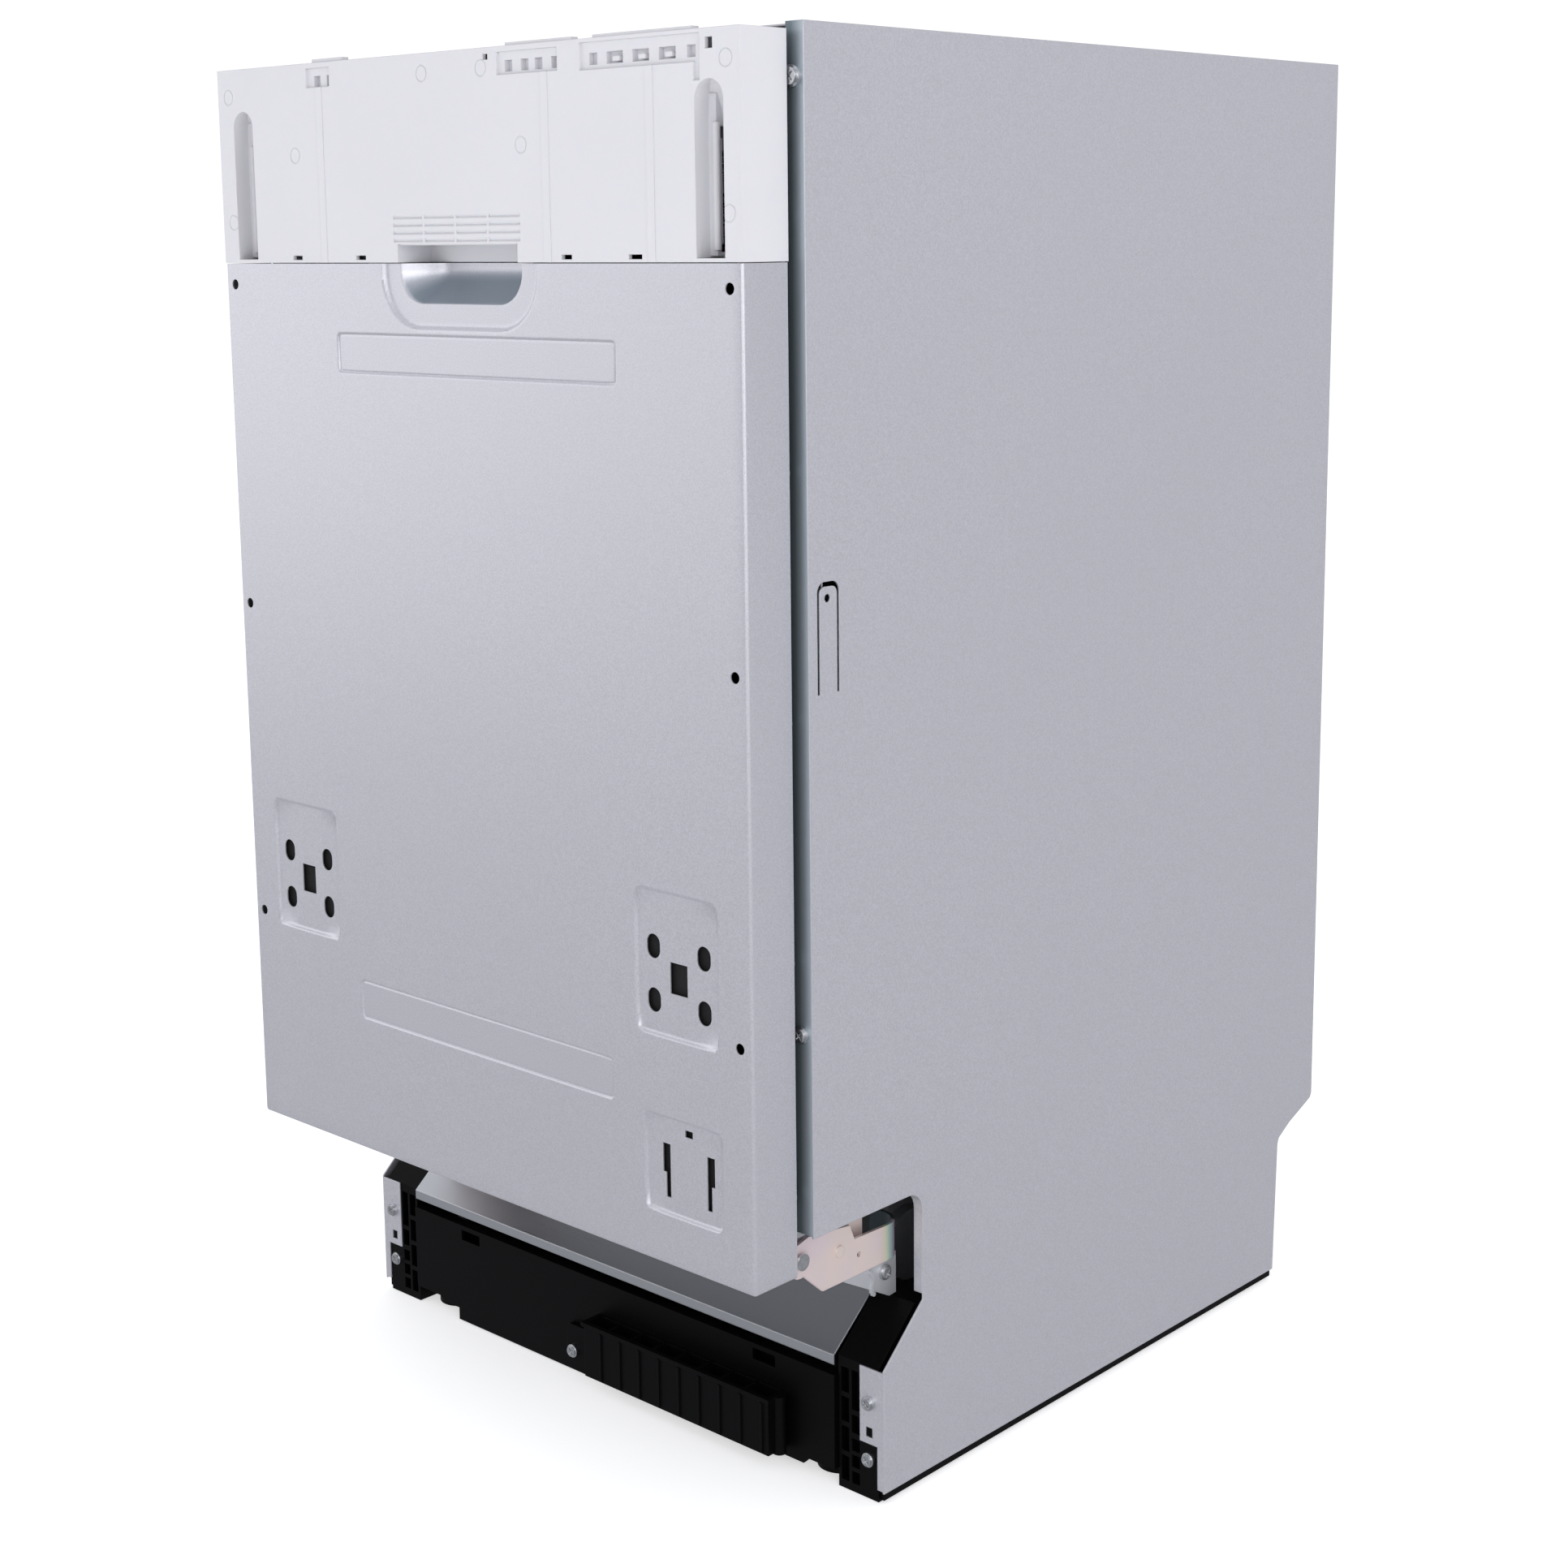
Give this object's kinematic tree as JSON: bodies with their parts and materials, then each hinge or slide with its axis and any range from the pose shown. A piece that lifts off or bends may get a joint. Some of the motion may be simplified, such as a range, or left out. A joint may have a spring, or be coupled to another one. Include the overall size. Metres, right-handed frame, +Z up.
{
  "type": "built in dishwasher",
  "caption": "Slimline built-in dishwasher without its furniture front: steel cabinet with a drop-down door, wash tub, pull-out racks, spray arms and a recessed plinth.",
  "frame": {"origin": "on the floor, under the middle of the closed machine", "axes": "+X to the machine's right as seen from the front, +Y from the door towards the back, +Z up"},
  "size_m": [0.448, 0.5544, 0.815],
  "materials": {
    "painted_steel": "satin silver-grey with fine speckle",
    "stainless": "brushed",
    "zinc_plate": "yellow passivated zinc",
    "bright_zinc": "bright zinc",
    "black_plastic": "fine textured",
    "white_plastic": "smooth satin",
    "grey_plastic": "satin",
    "light_plastic": "translucent white",
    "rubber_seal": "matt",
    "coated_wire": "nylon coating",
    "board_green": "solder mask",
    "felt": "bitumen felt",
    "button_metal": "metallised plastic"
  },
  "bodies": {
    "cabinet": {"side_panel_left": "painted_steel", "side_panel_right": "painted_steel", "rear_panel": "painted_steel", "top_rails": "painted_steel", "base_tray": "black_plastic", "corner_post_left": "black_plastic", "corner_post_right": "black_plastic", "kick_panel": "black_plastic", "kick_pocket": "black_plastic", "drip_plate": "stainless", "hinge_bracket_left": "zinc_plate", "hinge_bracket_right": "zinc_plate", "hinge_pins": "bright_zinc", "tub": "stainless", "door_gasket": "rubber_seal", "upper_rail_channels": "bright_zinc", "sump": "grey_plastic", "wash_pump": "grey_plastic", "drain_pump": "grey_plastic", "water_softener": "light_plastic", "air_break_tank": "light_plastic", "inlet_valve": "light_plastic", "drain_outlet": "grey_plastic", "cable_gland": "black_plastic", "flat_filter": "stainless", "door_striker": "bright_zinc", "cabinet_screws": "bright_zinc", "riser_pipe": "grey_plastic", "door_springs": "bright_zinc"},
    "door": {"door_skin": "painted_steel", "control_panel": "white_plastic", "inner_door": "stainless", "hinge_arm_left": "bright_zinc", "hinge_arm_right": "bright_zinc", "control_strip": "white_plastic", "control_board": "board_green", "dispenser_body": "grey_plastic", "door_screws": "bright_zinc", "door_felt": "felt"},
    "upper_rack": {"upper_rack": "coated_wire"},
    "lower_rack": {"lower_rack": "coated_wire", "cutlery_basket": "grey_plastic"},
    "latch_bolt": {"latch_bolt": "bright_zinc"},
    "detergent_lid": {"detergent_lid": "grey_plastic"},
    "rinse_aid_cap": {"rinse_aid_cap": "grey_plastic"},
    "power_button": {"power_button": "button_metal"},
    "program_button": {"program_button": "button_metal"},
    "options_button": {"options_button": "button_metal"},
    "start_button": {"start_button": "button_metal"},
    "upper_slide_members": {"upper_slide_members": "bright_zinc"},
    "upper_spray_arm": {"upper_spray_arm": "grey_plastic"},
    "front_wheels": {"front_wheels": "grey_plastic"},
    "rear_wheels": {"rear_wheels": "grey_plastic"},
    "folding_tines": {"folding_tines": "coated_wire"},
    "lower_spray_arm": {"lower_spray_arm": "grey_plastic"},
    "filter_cup": {"filter_cup": "grey_plastic"},
    "salt_cap": {"salt_cap": "grey_plastic"},
    "front_foot_left": {"front_foot_left": "black_plastic"},
    "front_foot_right": {"front_foot_right": "black_plastic"},
    "rear_foot": {"rear_foot": "black_plastic"}
  },
  "joints": [
    {"name": "door_hinge", "type": "hinge", "parent": "cabinet", "child": "door", "pos_m": [0, -0.23, 0.158], "axis": [1, 0, 0], "range_deg": [0, 90]},
    {"name": "upper_rack_slide", "type": "slide", "parent": "cabinet", "child": "upper_rack", "axis": [0, -1, 0], "range_m": [0, 0.3932]},
    {"name": "upper_rail_slide", "type": "slide", "parent": "cabinet", "child": "upper_slide_members", "axis": [0, -1, 0], "range_m": [0, 0.1968]},
    {"name": "lower_rack_slide", "type": "slide", "parent": "cabinet", "child": "lower_rack", "axis": [0, -1, 0], "range_m": [0, 0.1654]},
    {"name": "front_wheel_spin", "type": "hinge", "parent": "lower_rack", "child": "front_wheels", "pos_m": [0, -0.123, 0.2042], "axis": [1, 0, 0], "range_deg": [0, 631]},
    {"name": "rear_wheel_spin", "type": "hinge", "parent": "lower_rack", "child": "rear_wheels", "pos_m": [0, 0.162, 0.2042], "axis": [1, 0, 0], "range_deg": [0, 631]},
    {"name": "tine_row_fold", "type": "hinge", "parent": "lower_rack", "child": "folding_tines", "pos_m": [0, 0.094, 0.231], "axis": [1, 0, 0], "range_deg": [0, 80]},
    {"name": "spray_arm_upper_spin", "type": "hinge", "parent": "upper_rack", "child": "upper_spray_arm", "pos_m": [0, 0.012, 0.47], "axis": [0, 0, 1], "continuous": true},
    {"name": "spray_arm_lower_spin", "type": "hinge", "parent": "cabinet", "child": "lower_spray_arm", "pos_m": [0, 0.012, 0.204], "axis": [0, 0, 1], "continuous": true},
    {"name": "filter_cup_twist", "type": "hinge", "parent": "cabinet", "child": "filter_cup", "pos_m": [0.04, -0.076, 0.15], "axis": [0, 0, 1], "range_deg": [-30, 0]},
    {"name": "salt_cap_spin", "type": "hinge", "parent": "cabinet", "child": "salt_cap", "pos_m": [-0.142, 0.092, 0.188], "axis": [0, 0, 1], "continuous": true},
    {"name": "detergent_lid_slide", "type": "slide", "parent": "door", "child": "detergent_lid", "axis": [1, 0, 0], "range_m": [0, 0.047]},
    {"name": "rinse_aid_cap_twist", "type": "hinge", "parent": "door", "child": "rinse_aid_cap", "pos_m": [0.035, -0.222, 0.48], "axis": [0, 1, 0], "range_deg": [0, 90]},
    {"name": "latch_bolt_press", "type": "slide", "parent": "door", "child": "latch_bolt", "axis": [0, 0, -1], "range_m": [0, 0.001], "stiffness_N_per_m": 400},
    {"name": "power_button_press", "type": "slide", "parent": "door", "child": "power_button", "axis": [0, 0, -1], "range_m": [0, 0.0015], "stiffness_N_per_m": 300},
    {"name": "program_button_press", "type": "slide", "parent": "door", "child": "program_button", "axis": [0, 0, -1], "range_m": [0, 0.0015], "stiffness_N_per_m": 300},
    {"name": "options_button_press", "type": "slide", "parent": "door", "child": "options_button", "axis": [0, 0, -1], "range_m": [0, 0.0015], "stiffness_N_per_m": 300},
    {"name": "start_button_press", "type": "slide", "parent": "door", "child": "start_button", "axis": [0, 0, -1], "range_m": [0, 0.0015], "stiffness_N_per_m": 300},
    {"name": "foot_turn_front_left", "type": "hinge", "parent": "cabinet", "child": "front_foot_left", "pos_m": [-0.172, -0.158, 0.02], "axis": [0, 0, 1], "continuous": true},
    {"name": "foot_turn_front_right", "type": "hinge", "parent": "cabinet", "child": "front_foot_right", "pos_m": [0.172, -0.158, 0.02], "axis": [0, 0, 1], "continuous": true},
    {"name": "foot_turn_rear", "type": "hinge", "parent": "cabinet", "child": "rear_foot", "pos_m": [0, 0.202, 0.02], "axis": [0, 0, 1], "continuous": true}
  ],
  "couplings": [
    {"joint": "upper_rack_slide", "follows": "door_hinge", "m_per_rad": 0.25},
    {"joint": "upper_rail_slide", "follows": "door_hinge", "m_per_rad": 0.125},
    {"joint": "lower_rack_slide", "follows": "door_hinge", "m_per_rad": 0.105},
    {"joint": "front_wheel_spin", "follows": "door_hinge", "ratio": 7},
    {"joint": "rear_wheel_spin", "follows": "door_hinge", "ratio": 7}
  ]
}
